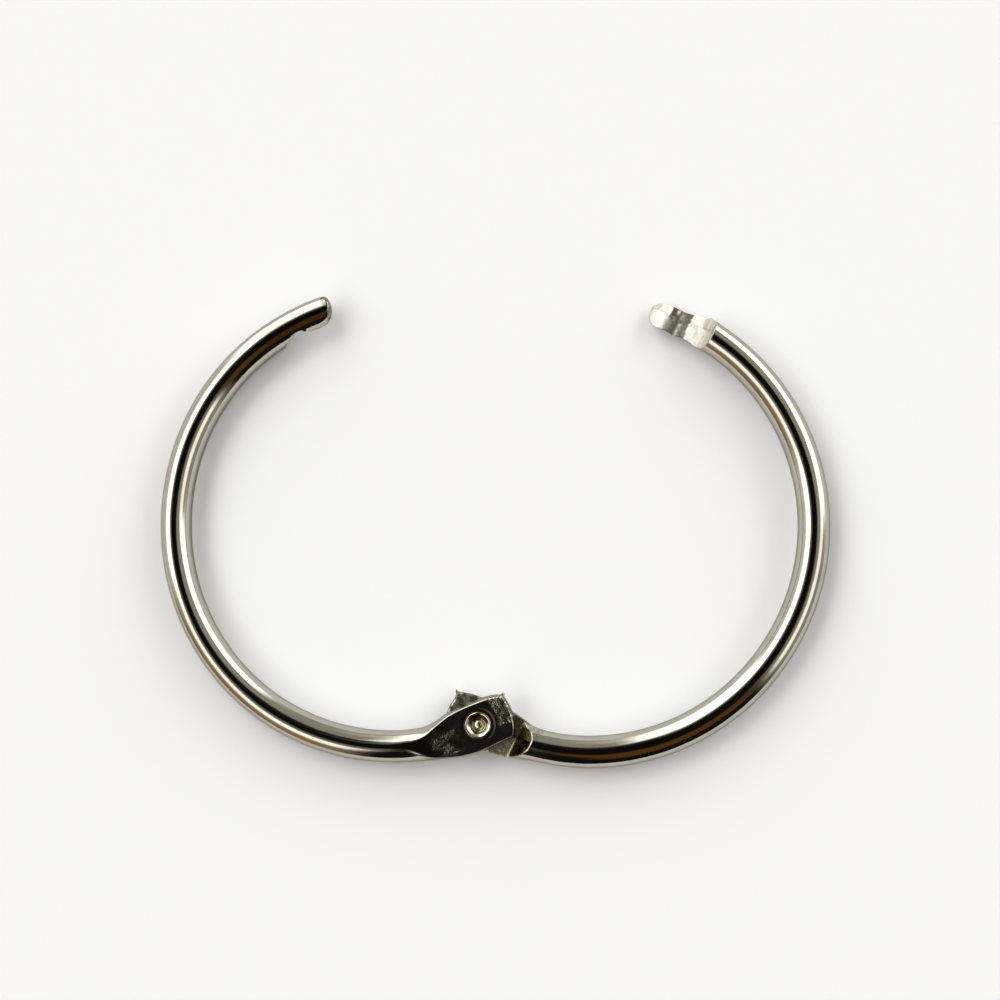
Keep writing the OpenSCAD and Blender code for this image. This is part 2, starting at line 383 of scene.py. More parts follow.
def loft(half, count=96, fine=480):
    """Sections round the spine, closed at both ends: points and triangles."""
    s = stations(half)
    c, e1, t = spine(half, s)
    S = len(s)
    phi = np.arange(fine) / fine * 2 * np.pi - np.pi / 2
    warp = ease((0.4 - s) / 4.0)                       # sections follow the tab's curved end

    def place(rows, r, co, si):
        p = c[rows][:, None, :] + (r * co)[..., None] * e1[rows][:, None, :] + (r * si)[..., None] * np.array([0, 0, 1.0])
        p[..., 0] += (end_surface(half, p[..., 1], p[..., 2]) + TAB_X[half]) * warp[rows][:, None]
        return p

    def outside(zone, rows, co, si):
        def test(r):
            p = place(rows, r, co, si)
            return field(half, zone, p[..., 0], p[..., 1], p[..., 2], False) > 0
        return test

    rho = np.empty((S, fine))
    for zone, m in by_zone(c):
        rows = np.where(m)[0]
        rho[rows] = cross(outside(zone, rows, np.cos(phi)[None], np.sin(phi)[None]), (len(rows), fine), 4.4, 30, 14)
    # columns: more of them where the section bends
    x2, y2 = rho * np.cos(phi), rho * np.sin(phi)
    dx, dy = np.roll(x2, -1, 1) - x2, np.roll(y2, -1, 1) - y2
    seg, ang = np.hypot(dx, dy), np.arctan2(dy, dx)
    turn = np.abs((np.roll(ang, -1, 1) - ang + np.pi) % (2 * np.pi) - np.pi)
    k = np.exp(-0.5 * (np.arange(-4, 5) / 2.0) ** 2)
    turn = sum(np.roll(turn, j - 4, 1) * k[j] / k.sum() for j in range(9))
    dens = smooth_rows(seg / seg.sum(1, keepdims=True) + 0.7 * turn / turn.sum(1, keepdims=True), 4)
    cum = np.concatenate([np.zeros((S, 1)), np.cumsum(dens, 1)], 1)
    cum /= cum[:, -1:]
    grid = np.arange(fine + 1) / fine * 2 * np.pi - np.pi / 2
    want = np.arange(count) / count
    ph = smooth_rows(np.stack([np.interp(want, cum[i], grid) for i in range(S)]), 2)
    rr = np.stack([np.interp(ph[i], np.append(phi, phi[0] + 2 * np.pi), np.append(rho[i], rho[i, 0])) for i in range(S)])
    rings = list(place(np.arange(S), rr, np.cos(ph), np.sin(ph)))

    def cap(row, sign, zone, turns=13):
        """Rings that close an end, from the last section inwards."""
        d = t[row] * sign
        out = []
        for j in range(1, turns + 2):
            f = 0.0 if j == turns + 1 else (1 - j / (turns + 1)) ** 0.9
            n = 1 if f == 0 else count
            base = place(np.array([row]), (rr[row][:n] * f)[None], np.cos(ph[row][:n])[None], np.sin(ph[row][:n])[None])[0] - d * 0.05
            go = cross(lambda r: field(half, zone, *(base + d * r[:, None]).T, False) > 0, (n,), 1.6, 40, 18)
            out.append(base + d * go[:, None])
        return out[:-1], out[-1]

    low, low_pole = cap(0, -1, "hinge")
    high, high_pole = cap(S - 1, 1, "free")
    rings = low[::-1] + rings + high
    V = np.concatenate([low_pole] + rings + [high_pole])
    n = len(rings)
    i = np.arange(n - 1)[:, None] * count + 1
    j = np.arange(count)[None]
    j1 = (j + 1) % count
    a, b, cc, d = (i + j).ravel(), (i + j1).ravel(), (i + count + j1).ravel(), (i + count + j).ravel()
    flip = (np.arange(len(a)) // count + np.arange(len(a)) % count) % 2 == 0
    F = np.concatenate([
        np.stack([a, cc, b], 1)[flip], np.stack([a, d, cc], 1)[flip],
        np.stack([a, d, b], 1)[~flip], np.stack([b, d, cc], 1)[~flip],
        np.array([[0, 1 + k, 1 + (k + 1) % count] for k in range(count)]),
        np.array([[len(V) - 1, 1 + (n - 1) * count + (k + 1) % count, 1 + (n - 1) * count + k] for k in range(count)])])
    return V, F


def refine(half, V, N, F, tol, bend, least, limit):
    """Split the edges whose middle lies off the surface, keeping the mesh closed."""
    e = np.sort(np.concatenate([F[:, [0, 1]], F[:, [1, 2]], F[:, [2, 0]]]), 1)
    edges, inv = np.unique(e, axis=0, return_inverse=True)
    inv = inv.reshape(3, -1).T
    A, B = V[edges[:, 0]], V[edges[:, 1]]
    mid = (A + B) / 2
    off = np.zeros(len(edges))
    for zone, m in by_zone(mid):
        off[m] = np.abs(field(half, zone, mid[m, 0], mid[m, 1], mid[m, 2]))
    length = np.linalg.norm(A - B, axis=1)
    turn = np.degrees(np.arccos(np.clip((N[edges[:, 0]] * N[edges[:, 1]]).sum(1), -1, 1)))
    score = np.maximum(off / tol, turn / bend)
    score[length < least] = 0
    room = (limit - len(F)) // 2
    want = score > 1
    if want.sum() > room:
        want &= score > np.sort(score)[-max(room, 1)]
    number = np.full(len(edges), -1)
    number[want] = len(V) + np.arange(want.sum())
    P, Q = settle(half, mid[want])
    V, N = np.concatenate([V, P]), np.concatenate([N, Q])
    cut = number[inv]                                  # new point on edges ab, bc, ca
    k = (cut >= 0).sum(1)
    out = [F[k == 0]]
    f, c = F[k == 3], cut[k == 3]
    out += [np.stack([f[:, 0], c[:, 0], c[:, 2]], 1), np.stack([f[:, 1], c[:, 1], c[:, 0]], 1),
            np.stack([f[:, 2], c[:, 2], c[:, 1]], 1), c]
    for r in range(3):
        roll = [r, (r + 1) % 3, (r + 2) % 3]
        m = (k == 1) & (cut[:, r] >= 0)
        f, c = F[m][:, roll], cut[m][:, roll]
        out += [np.stack([f[:, 0], c[:, 0], f[:, 2]], 1), np.stack([c[:, 0], f[:, 1], f[:, 2]], 1)]
        m = (k == 2) & (cut[:, (r + 2) % 3] < 0)       # ab and bc are cut
        f, c = F[m][:, roll], cut[m][:, roll]
        out += [np.stack([c[:, 0], f[:, 1], c[:, 1]], 1)]
        short = np.linalg.norm(V[c[:, 0]] - V[f[:, 2]], axis=1) < np.linalg.norm(V[f[:, 0]] - V[c[:, 1]], axis=1)
        out += [np.stack([f[:, 0], c[:, 0], f[:, 2]], 1)[short], np.stack([c[:, 0], c[:, 1], f[:, 2]], 1)[short],
                np.stack([f[:, 0], c[:, 0], c[:, 1]], 1)[~short], np.stack([f[:, 0], c[:, 1], f[:, 2]], 1)[~short]]
    return V, N, np.concatenate(out)


def new_object(name, V, F):
    me = bpy.data.meshes.new(name)
    me.from_pydata(V.tolist(), [], F.tolist() if hasattr(F, "tolist") else F)
    me.update()
    o = bpy.data.objects.new(name, me)
    bpy.context.scene.collection.objects.link(o)
    return o


def drill(V, F, radius):
    """The mesh with a round hole along Z through the origin."""
    o = new_object("drill_work", V, F)
    n = 120
    a = np.arange(n) / n * 2 * np.pi
    ring = np.stack([np.cos(a) * radius, np.sin(a) * radius], 1)
    cv = np.concatenate([np.column_stack([ring, np.full(n, -4.0)]), np.column_stack([ring, np.full(n, 4.0)])])
    cf = [list(range(n))[::-1], list(range(n, 2 * n))] + [[i, (i + 1) % n, n + (i + 1) % n, n + i] for i in range(n)]
    tool = new_object("drill_tool", cv, cf)
    mod = o.modifiers.new("hole", "BOOLEAN")
    mod.operation, mod.solver, mod.object = "DIFFERENCE", "MANIFOLD", tool
    me = bpy.data.meshes.new_from_object(o.evaluated_get(bpy.context.evaluated_depsgraph_get()))
    me.calc_loop_triangles()
    v = np.empty(len(me.vertices) * 3)
    me.vertices.foreach_get("co", v)
    t = np.empty(len(me.loop_triangles) * 3, np.int32)
    me.loop_triangles.foreach_get("vertices", t)
    for x in (o, tool):
        old = x.data
        bpy.data.objects.remove(x)
        bpy.data.meshes.remove(old)
    bpy.data.meshes.remove(me)
    return v.reshape(-1, 3), t.reshape(-1, 3)


def to_frame(half, p, turn_only=False):
    """From the closed ring in mm to the half's place in the frame."""
    if half == "L":
        p = p * np.array([-1, 1, -1])
    a = math.radians(OPEN if half == "L" else -OPEN)
    c, s = math.cos(a), math.sin(a)
    p = np.stack([p[:, 0] * c - p[:, 1] * s, p[:, 0] * s + p[:, 1] * c, p[:, 2]], 1)
    return p if turn_only else (p + PIVOT) / 1000


def finish_mesh(o, V, F, corner_normals, attributes):
    V = np.maximum(V, (-1.0, -1.0, 0.0))       # nothing dips below the surface it lies on
    me = bpy.data.meshes.new(o)
    me.from_pydata(V.tolist(), [], F.tolist())
    for name, values in attributes.items():
        if values.ndim == 2:
            rgba = np.column_stack([values, np.ones(len(values))]).astype(np.float32)
            me.attributes.new(name, "FLOAT_COLOR", "POINT").data.foreach_set("color", rgba.ravel())
        else:
            me.attributes.new(name, "FLOAT", "POINT").data.foreach_set("value", values.astype(np.float32))
    me.shade_smooth()
    me.normals_split_custom_set(corner_normals.reshape(-1, 3).tolist())
    me.update()
    ob = bpy.data.objects.new(o, me)
    bpy.context.scene.collection.objects.link(ob)
    return ob


NICKEL = (0.50, 0.475, 0.415)


def tones(half, V, N, u, lapped):
    """Colour of the metal: nickel with tarnish and stains, plus painted light: painted highlights and painted shade on
    the pressed tongue, painted shade on the ramp and along the free end.
    """
    x, y, z = V.T
    col = np.tile(np.array(NICKEL), (len(V), 1))
    r = np.hypot(x, y)

    def lay(colour, weight):
        w = np.clip(weight, 0, 1)[:, None]
        col[:] = col * (1 - w) + np.array(colour) * w

    near = y < 10
    to_end = x - end_surface(half, y, z)
    to_edge = INNER[half](x) - INNER_BAND[half](x) * np.clip(-z / FACE_Z, 0, 1.2) ** 1.5 - y
    n1 = noise(x, y, z, 0.42, 51)
    n2 = noise(x, y, z, 0.20, 52)
    if half == "L":
        # tarnish pressed out round the rivet
        lay((0.33, 0.22, 0.11), near * (z < -1.2) * np.exp(-((r - 1.84) / 0.26) ** 2) * 0.75)
        lay((0.34, 0.32, 0.27), near * ease((0.20 - to_edge) / 0.1) * ease((3.0 - x) / 1.5))
        # painted shade: the end wall, which faces the other half's ramp across a narrow gap, darkened brown
        lay((0.15, 0.11, 0.065), near * ease((0.24 - to_end) / 0.1) * ease((2.0 - y) / 0.2) * (0.8 + 0.2 * n1))
        lay((0.80, 0.76, 0.60), near * ease((-2.1 - x) / 0.5) * (z < -1.3) * ease(n2 * 1.6) * ease((r - 2.3) / 0.2))
        lay((0.30, 0.28, 0.19), near * (z < -1.3) * ease((x - 1.9) / 0.8) * ease((6.5 - x) / 1.5) * ease(0.6 + n1) * 0.65)
        end = (np.degrees(np.arctan2(x, RING_Y - y)) % 360 - TIP[half]) * MM_DEG
        # painted reflection: the middle band of the free end's upper face, between the outer highlight and the inner
        # edge, darkened as a dark reflection, its edge at the highlight broken into painted olive flecks
        rho = np.hypot(x, y - RING_Y)
        nr = (N[:, 0] * x + N[:, 1] * (y - RING_Y)) / rho
        front = ~near * ease((end + 13) / 5) * ease(-N[:, 2] / 0.2)
        lay((0.20, 0.19, 0.155), front * ease((0.27 + 0.05 * n1 - nr) / 0.06) * ease((nr + 0.66) / 0.1) * (0.62 + 0.2 * n1))
        lay((0.27, 0.27, 0.14), front * np.exp(-((nr - 0.36) / 0.085) ** 2) * ease(n2 * 2.2 + n1) * 0.9)
        # painted shade: the cut end of the free end darkened and mottled, where the lights would give a highlight
        lay((0.19, 0.18, 0.125), ~near * ease((end + 1.0) / 0.4) * ease(0.8 + 1.3 * n2))
        return col
    # lap face and shoulder
    lap = near * ease((z + 0.30) / 0.15) * ease((0.16 - z) / 0.08) * ease((5.4 - x) / 0.3)
    lay((0.085, 0.085, 0.06), lap * ease((1.5 - x) / 1.0) * ease(0.75 + 0.8 * n1))
    lay((0.60, 0.57, 0.41), lap * ease((x - 0.5) / 1.0) * ease((0.5 - y) / 0.5))
    lay((0.15, 0.12, 0.08), lap * ease((x - 0.5) / 1.0) * ease((y - 0.1) / 0.5) * (0.85 + 0.4 * n1))
    inner = 1.815 - np.hypot(np.hypot(x, y - RING_Y) - MID - DRIFT[half](np.degrees(np.arctan2(np.maximum(x, 0), RING_Y - y))), z)
    # painted light on the ramp that faces the other half's end: painted shade over it, olive towards the inner side,
    # and a painted highlight crescent high on its outer side
    up = near * ease((x - FOOT[half] + 0.22) / 0.16) * ease((6.9 - x) / 0.3) * ease(inner / 0.07) * ease((-N[:, 0] - 0.12) / 0.2)
    lay((0.045, 0.034, 0.022), up)
    lay((0.17, 0.155, 0.095), up * ease((y - 0.6 + 0.3 * n1) / 0.6) * ease((x - FOOT[half] - 0.15) / 0.3))
    lay((0.85, 0.80, 0.62), up * ease((z - 1.05) / 0.4) * ease((0.5 - y) / 0.5) * ease(0.4 + 1.1 * n2 + 0.5 * n1))
    lay((0.16, 0.155, 0.11), near * ease((0.12 - to_end) / 0.1) * ease((2.0 - y) / 0.2) * (x < 0))
    # painted reflection and shade on the wire's face beside the ramp, which faces the other half: brown on the outer
    # side, broken dark flecks towards the inner side
    rim = near * ease((x - FOOT[half] + 0.3) / 0.2) * ease((7.2 - x) / 0.3) * ease((-N[:, 0] - 0.02) / 0.15) \
        * np.exp(-((inner - 0.02) / 0.07) ** 2)
    lay((0.26, 0.15, 0.065), rim * ease((-0.8 - y) / 0.5))
    lay((0.20, 0.18, 0.12), rim * ease((y + 1.0) / 0.3) * ease(0.45 + 1.6 * n2))
    # tongue
    a = math.radians(LAP[half])
    dr = DRIFT[half](np.degrees(np.arctan2(x, RING_Y - y)) % 360)
    v = x * math.sin(a) - (y - RING_Y) * math.cos(a) - MID - dr - 0.2
    wob = 0.10 * n1
    foot = -3.72 + 0.55 * ease((v + 0.1) / 0.5)
    streak = noise(x * 0.3 + y * 1.6, y * 0.3 - x * 1.6, z, 0.55, 53)
    lay((0.56, 0.515, 0.45), lapped)
    # painted highlight: the frosted plateau and head of the tongue painted near white
    lay((0.97, 0.95, 0.90), lapped * ease((u - foot) / 0.35) * (0.84 + 0.26 * streak + 0.22 * n2))
    # painted shade in the groove across the tongue: dark slopes, darker lines and a near black outer slope, lighter
    # grey towards its inner side
    lay((0.115, 0.115, 0.092), lapped * ease((u + 1.68 + wob) / 0.25) * ease((1.12 - u + wob) / 0.2) * (1 - 0.25 * ease(n2)))
    lay((0.045, 0.045, 0.030), lapped * np.exp(-((u - 0.04 + wob) / 0.13) ** 2) * ease((0.9 - v) / 0.5) * 0.85)
    lay((0.050, 0.048, 0.035), lapped * np.exp(-((u + 1.0 + 2 * wob) / 0.22) ** 2) * ease(n2 * 2 + 0.3) * 0.8)
    lay((0.34, 0.34, 0.29), lapped * ease((u - 0.35) / 0.5) * ease((1.3 - u) / 0.2) * ease((-0.3 - v) / 0.6) * 0.6)
    lay((0.030, 0.021, 0.010), lapped * ease((u + 0.22 + wob) / 0.2) * ease((1.16 - u + wob) / 0.25) * ease((v + 0.15) / 0.25))
    # painted highlights: a thin bright line along the groove's bottom and a small light blob beyond it
    lay((0.85, 0.84, 0.70), lapped * np.exp(-((u + 0.42 + 0.5 * wob) / 0.15) ** 2) * ease(0.6 + 0.8 * n1))
    lay((0.85, 0.82, 0.66), lapped * np.exp(-((u - 0.22) / 0.18) ** 2 - ((v - 0.85) / 0.30) ** 2) * 0.8)
    # painted shade where the tongue rounds off towards its tip, greyer and darker with noise
    lay((0.60, 0.60, 0.54), lapped * ease((u - 2.25 + 0.6 * wob) / 0.35))
    lay((0.30, 0.27, 0.21), lapped * ease((u - 2.7) / 0.3) * ease((v - 0.2) / 0.4) * ease(0.2 + n1))
    lay((0.40, 0.40, 0.33), lapped * ease((u - 2.75) / 0.6) * (0.50 + 0.35 * n2))
    seam = np.exp(-((v - 0.02 + 0.05 * n1) / 0.075) ** 2)
    lay((0.28, 0.23, 0.17), lapped * seam * (0.75 * ease((-2.9 - u) / 0.5) + 0.35 * ease((u + 3.4) / 0.3) * ease((-1.7 - u) / 0.3)
                                              + 0.8 * ease((u - 2.3) / 0.4) + 0.4 * ease((u - 1.2) / 0.2) * ease((2.7 - u) / 0.4)))
    return col


def make_half(half, name):
    V, F = loft(half)
    V, N = settle(half, V)
    for tol, bend, least in ((0.004, 9, 0.07), (0.004, 9, 0.05), (0.003, 9, 0.035)):
        V, N, F = refine(half, V, N, F, tol, bend, least, 190000)
    V, F = drill(V, F, HOLE[half])
    N = np.zeros_like(V)
    for zone, m in by_zone(V):
        N[m] = gradient(half, zone, V[m])[1]
    r = np.hypot(V[:, 0], V[:, 1])
    bore_v = np.abs(r - HOLE[half]) < 2e-3
    bore_f = bore_v[F].all(1)
    flat = np.cross(V[F[:, 1]] - V[F[:, 0]], V[F[:, 2]] - V[F[:, 0]])
    flat /= np.maximum(np.linalg.norm(flat, axis=1), 1e-12)[:, None]
    bore_f &= np.abs(flat[:, 2]) < 0.3
    C = N[F]
    inward = np.stack([-V[:, 0], -V[:, 1], 0 * r], 1) / np.maximum(r, 1e-9)[:, None]
    C[bore_f] = inward[F[bore_f]]
    # masks for the finish: pressed faces, pitted patches
    x, y, z = V.T
    tab = ease((6.9 - x) / 1.6) * (y < 10)
    a = math.radians(LAP[half])
    u = x * math.cos(a) + (y - RING_Y) * math.sin(a)
    lapped = ease((u + 4.6) / 0.4) * (y > 40) * ease((-N[:, 2] * (1 if half == "L" else -1) * 0 + N[:, 2] - 0.15) / 0.25)
    pressed = np.clip(tab + lapped, 0, 1)
    patchy = np.where(x < 0, 1.0, ease(0.45 + 1.0 * noise(x * 0.7, y, z, 0.85, 10)))
    pitted = np.clip(face_marks(half, x, y, r) * ease((-z - 1.0) / 0.4) * (y < 10) * patchy
                     + 0.9 * tab * ease((z + 0.4) / 0.3) * ease((4.9 - x) / 0.4)
                     + 0.8 * lapped * np.exp(-((u + 0.3) / 1.0) ** 2)
                     + (0.8 if half == "L" else 0) * (y > 40)
                     * ease(((np.degrees(np.arctan2(x, RING_Y - y)) % 360 - TIP[half]) * MM_DEG + 0.7) / 0.4), 0, 1)
    satin = np.clip(lapped + 0.28 * tab * ease((z + 0.4) / 0.3) * ease((5.4 - x) / 0.6), 0, 1)
    return finish_mesh(name, to_frame(half, V), F, to_frame(half, C.reshape(-1, 3), True),
                       {"pressed": pressed, "pitted": pitted, "satin": satin, "tone": tones(half, V, N, u, lapped)})


# ---------------------------------------------------------------- rivet
def make_rivet():
    """Semi-tubular rivet: low head at the back, rolled rim in front, a cup-bottomed hollow."""
    prof = [(0.0, 1.080), (0.06, 1.079), (0.12, 1.074), (0.18, 1.066), (0.24, 1.055), (0.30, 1.041), (0.36, 1.024), (0.42, 1.004),
            (0.48, 0.981), (0.54, 0.955), (0.60, 0.927), (0.655, 0.899), (0.70, 0.880), (0.735, 0.874), (0.77, 0.888), (0.80, 0.935),
            (0.82, 1.01), (0.832, 1.12), (0.84, 1.24), (0.852, 1.36), (0.870, 1.45),
            (0.895, 1.52), (0.925, 1.575), (0.965, 1.625), (1.01, 1.670), (1.06, 1.712), (1.11, 1.750), (1.16, 1.785), (1.21, 1.816),
            (1.26, 1.843), (1.31, 1.866), (1.355, 1.882)]
    for k in range(0, 15):                                   # rolled edge of the flare
        a = math.radians(78 - k * 140 / 14)
        prof.append((1.385 + 0.125 * math.cos(a), 1.770 + 0.118 * math.sin(a)))
    prof += [(1.42, 1.63), (1.37, 1.60), (1.32, 1.56), (1.25, 1.55), (1.195, 1.54), (1.19, 1.2), (1.19, 0.6), (1.19, 0), (1.19, -0.8), (1.19, -1.50), (1.195, -1.60),
             (1.24, -1.618), (1.6, -1.62), (2.05, -1.62), (2.13, -1.622)]
    for k in range(0, 9):
        a = math.radians(k * 90 / 8)
        prof.append((2.13 + 0.07 * math.cos(a - 0.0), -1.66 - 0.05 * math.sin(a)))
    prof += [(2.08, -1.742), (1.98, -1.772), (1.86, -1.80), (1.70, -1.824), (1.50, -1.84), (1.2, -1.846), (0.8, -1.848), (0.4, -1.848), (0.0, -1.848)]
    p = np.array(prof)
    keep = np.concatenate([[True], np.hypot(*np.diff(p, axis=0).T) > 1e-6])
    p = p[keep]
    n = 160
    a = np.arange(n) / n * 2 * np.pi
    rows = p[1:-1]
    R, A = np.meshgrid(rows[:, 0], a, indexing="ij")
    Z = np.repeat(rows[:, 1][:, None], n, 1)
    X, Y = R * np.cos(A), R * np.sin(A)
    # rolled metal is never quite round
    rim = ease((Z - 1.50) / 0.1)
    wob = 0.022 * np.sin(2 * A + 0.6) + 0.014 * np.sin(3 * A + 2.1) + 0.008 * np.sin(7 * A)
    lift = 0.012 * np.sin(2 * A - 1.0) + 0.008 * np.sin(5 * A + 0.4)
    nz = noise(X, Y, Z, 0.3, 41)
    scale = 1 + rim * (np.minimum(wob, 0.012) + 0.010 * nz) / np.maximum(R, 0.5)
    X, Y = X * scale, Y * scale
    Z = Z + rim * np.minimum(lift + 0.010 * nz, 0.022) * ease((Z - 1.6) / 0.15)
    cup = ease((0.80 - R) / 0.25) * (Z > 0)
    Z = Z + cup * (0.06 * Y + 0.02 * noise(X, Y, Z * 0, 0.6, 42))
    V = np.concatenate([[[0, 0, p[0, 1]]], np.stack([X, Y, Z], -1).reshape(-1, 3), [[0, 0, p[-1, 1]]]])
    m = len(rows)
    i = np.arange(m - 1)[:, None] * n + 1
    j = np.arange(n)[None]
    j1 = (j + 1) % n
    a1, b1, c1, d1 = (i + j).ravel(), (i + j1).ravel(), (i + n + j1).ravel(), (i + n + j).ravel()
    F = np.concatenate([np.stack([a1, d1, c1], 1), np.stack([a1, c1, b1], 1),
                        np.array([[0, 1 + k, 1 + (k + 1) % n] for k in range(n)]),
                        np.array([[len(V) - 1, 1 + (m - 1) * n + (k + 1) % n, 1 + (m - 1) * n + k] for k in range(n)])])
    flat = np.cross(V[F[:, 1]] - V[F[:, 0]], V[F[:, 2]] - V[F[:, 0]])
    vol = (V[F[:, 0]] * flat).sum() / 6
    if vol < 0:
        F = F[:, ::-1]
        flat = -flat
    N = np.zeros_like(V)
    for k in range(3):
        np.add.at(N, F[:, k], flat)
    N /= np.maximum(np.linalg.norm(N, axis=1), 1e-12)[:, None]
    flat /= np.maximum(np.linalg.norm(flat, axis=1), 1e-12)[:, None]
    C = N[F]
    hard = (C * flat[:, None, :]).sum(2) < 0.80              # keep the sharp steps sharp
    C[hard] = np.repeat(flat[:, None, :], 3, 1)[hard]
    r = np.hypot(V[:, 0], V[:, 1])
    inside = ease((0.95 - r) / 0.1) * ease((1.5 - V[:, 2]) / 0.4) * (V[:, 2] > -1)
    q = np.radians(OPEN)
    turn = np.array([[math.cos(q), -math.sin(q), 0], [math.sin(q), math.cos(q), 0], [0, 0, 1]])
    way = np.degrees(np.arctan2(V[:, 1], V[:, 0])) + OPEN      # bearing in the frame
    # painted shade: the inner slope of the rolled rim darkened on its upper side, about 98 degrees in the frame
    top = ease((95 - np.abs((way - 98 + 180) % 360 - 180)) / 22)
    tone = np.tile(np.array((0.58, 0.555, 0.48)), (len(V), 1))
    for colour, weight in (((0.88, 0.82, 0.58), inside * ease((0.80 - r) / 0.05)),
                           ((0.16, 0.13, 0.08), inside * ease((r - 0.74) / 0.05)),
                           ((0.085, 0.06, 0.035), (V[:, 2] > 1.4) * ease((1.30 - r) / 0.08) * ease((r - 0.80) / 0.04) * top),
                           ((0.26, 0.20, 0.12), (V[:, 2] > 1.4) * ease((r - 1.42) / 0.05))):
        wgt = np.clip(weight, 0, 1)[:, None]
        tone = tone * (1 - wgt) + np.array(colour) * wgt
    return finish_mesh("rivet_turned", (V @ turn.T + PIVOT) / 1000, F, C.reshape(-1, 3) @ turn.T,
                       {"pressed": np.clip(0.25 + 0.5 * inside, 0, 1), "pitted": inside * 0.3, "satin": inside * 0.0, "tone": tone})


left = make_half("L", "left_ring_half")
right = make_half("R", "right_ring_half")
rivet = make_rivet()
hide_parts("left_half")
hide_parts("right_half")
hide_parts("rivet")
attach(left, "left")
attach(rivet, "left")
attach(right, "right")


# ---------------------------------------------------------------- node helper
class Graph:
    def __init__(self, tree):
        self.t = tree

    def add(self, kind, **kw):
        n = self.t.nodes.new(kind)
        for k, v in kw.items():
            setattr(n, k, v)
        return n

    def put(self, socket, value):
        if hasattr(value, "is_output") or hasattr(value, "node"):
            self.t.links.new(value, socket)
        else:
            socket.default_value = value

    def math(self, op, a, b=None, c=None):
        n = self.add("ShaderNodeMath", operation=op)
        for k, v in enumerate((a, b, c)):
            if v is not None:
                self.put(n.inputs[k], v)
        return n.outputs[0]

    def step(self, v, lo, hi, a=0.0, b=1.0):
        """Smooth step of v from lo to hi."""
        n = self.add("ShaderNodeMapRange", interpolation_type="SMOOTHSTEP")
        self.put(n.inputs["Value"], v)
        for name, x in (("From Min", lo), ("From Max", hi), ("To Min", a), ("To Max", b)):
            n.inputs[name].default_value = x
        return n.outputs["Result"]

    def mix(self, f, a, b):
        n = self.add("ShaderNodeMix", data_type="RGBA")
        self.put(n.inputs[0], f)
        self.put(n.inputs[6], a)
        self.put(n.inputs[7], b)
        return n.outputs[2]

    def noise(self, vec, scale, detail=2.0, rough=0.5):
        n = self.add("ShaderNodeTexNoise")
        self.put(n.inputs["Vector"], vec)
        n.inputs["Scale"].default_value = scale
        n.inputs["Detail"].default_value = detail
        n.inputs["Roughness"].default_value = rough
        return n.outputs["Fac"]


def plated(name, wire_rough, pressed_rough):
    mat = bpy.data.materials.new(name)
    mat.use_nodes = True
    g = Graph(mat.node_tree)
    mat.node_tree.nodes.clear()
    out = g.add("ShaderNodeOutputMaterial")
    bsdf = g.add("ShaderNodeBsdfPrincipled")
    g.t.links.new(bsdf.outputs[0], out.inputs[0])
    co = g.add("ShaderNodeTexCoord").outputs["Object"]
    pressed = g.add("ShaderNodeAttribute", attribute_name="pressed").outputs["Fac"]
    pitted = g.add("ShaderNodeAttribute", attribute_name="pitted").outputs["Fac"]
    satin = g.add("ShaderNodeAttribute", attribute_name="satin").outputs["Fac"]
    g.put(bsdf.inputs["Metallic"], g.math("SUBTRACT", 1.0, g.math("MULTIPLY", satin, 0.5)))   # frosted where pressed
    broad = g.noise(co, 420, 3, 0.55)          # cloudiness over a few mm
    grain = g.noise(co, 5200, 3, 0.6)          # about 0.2 mm
    fine = g.noise(co, 16000, 2, 0.5)
    # colour: nickel, duller and browner where the press left it open
    dull = g.math("MULTIPLY", pitted, g.step(grain, 0.40, 0.66))
    tone = g.add("ShaderNodeAttribute", attribute_name="tone").outputs["Color"]
    shade = g.add("ShaderNodeMix", data_type="RGBA", blend_type="MULTIPLY")
    shade.inputs[0].default_value = 1.0
    g.put(shade.inputs[6], tone)
    g.put(shade.inputs[7], g.mix(g.step(broad, 0.35, 0.65), (1, 1, 1, 1), (0.93, 0.935, 0.92, 1)))
    speck = g.math("MULTIPLY", g.step(grain, 0.36, 0.60, 1.0, 0.0), g.math("MULTIPLY", satin, 0.10))
    col = g.mix(speck, shade.outputs[2], (0.42, 0.38, 0.30, 1))
    col = g.mix(g.math("MULTIPLY", dull, 0.50), col, (0.20, 0.175, 0.125, 1))
    g.put(bsdf.inputs["Base Color"], col)
    # roughness
    r = g.math("ADD", wire_rough, g.math("MULTIPLY", g.step(broad, 0.4, 0.75), 0.035))
    r = g.math("ADD", r, g.math("MULTIPLY", pressed, pressed_rough))
    r = g.math("ADD", r, g.math("MULTIPLY", dull, 0.06))
    r = g.math("ADD", r, g.math("MULTIPLY", satin, 0.36))
    g.put(bsdf.inputs["Roughness"], g.math("MINIMUM", r, 0.8))
    bsdf.inputs["Specular Tint"].default_value = (0.55, 0.55, 0.55, 1)
    # fine relief: drawing waviness on the wire, orange peel and pits on the pressed faces
    wavy = g.noise(co, 900, 2, 0.5)
    h = g.math("MULTIPLY", wavy, 1.0)
    h = g.math("ADD", h, g.math("MULTIPLY", g.math("MULTIPLY", grain, g.math("MAXIMUM", pitted, g.math("MULTIPLY", satin, 0.5))), 0.9))
    h = g.math("ADD", h, g.math("MULTIPLY", g.math("MULTIPLY", g.step(fine, 0.3, 0.5), pitted), 0.9))
    bump = g.add("ShaderNodeBump")
    bump.inputs["Strength"].default_value = 1.0
    bump.inputs["Distance"].default_value = 4.0e-6
    g.put(bump.inputs["Height"], h)
    g.put(bsdf.inputs["Normal"], bump.outputs[0])
    return mat


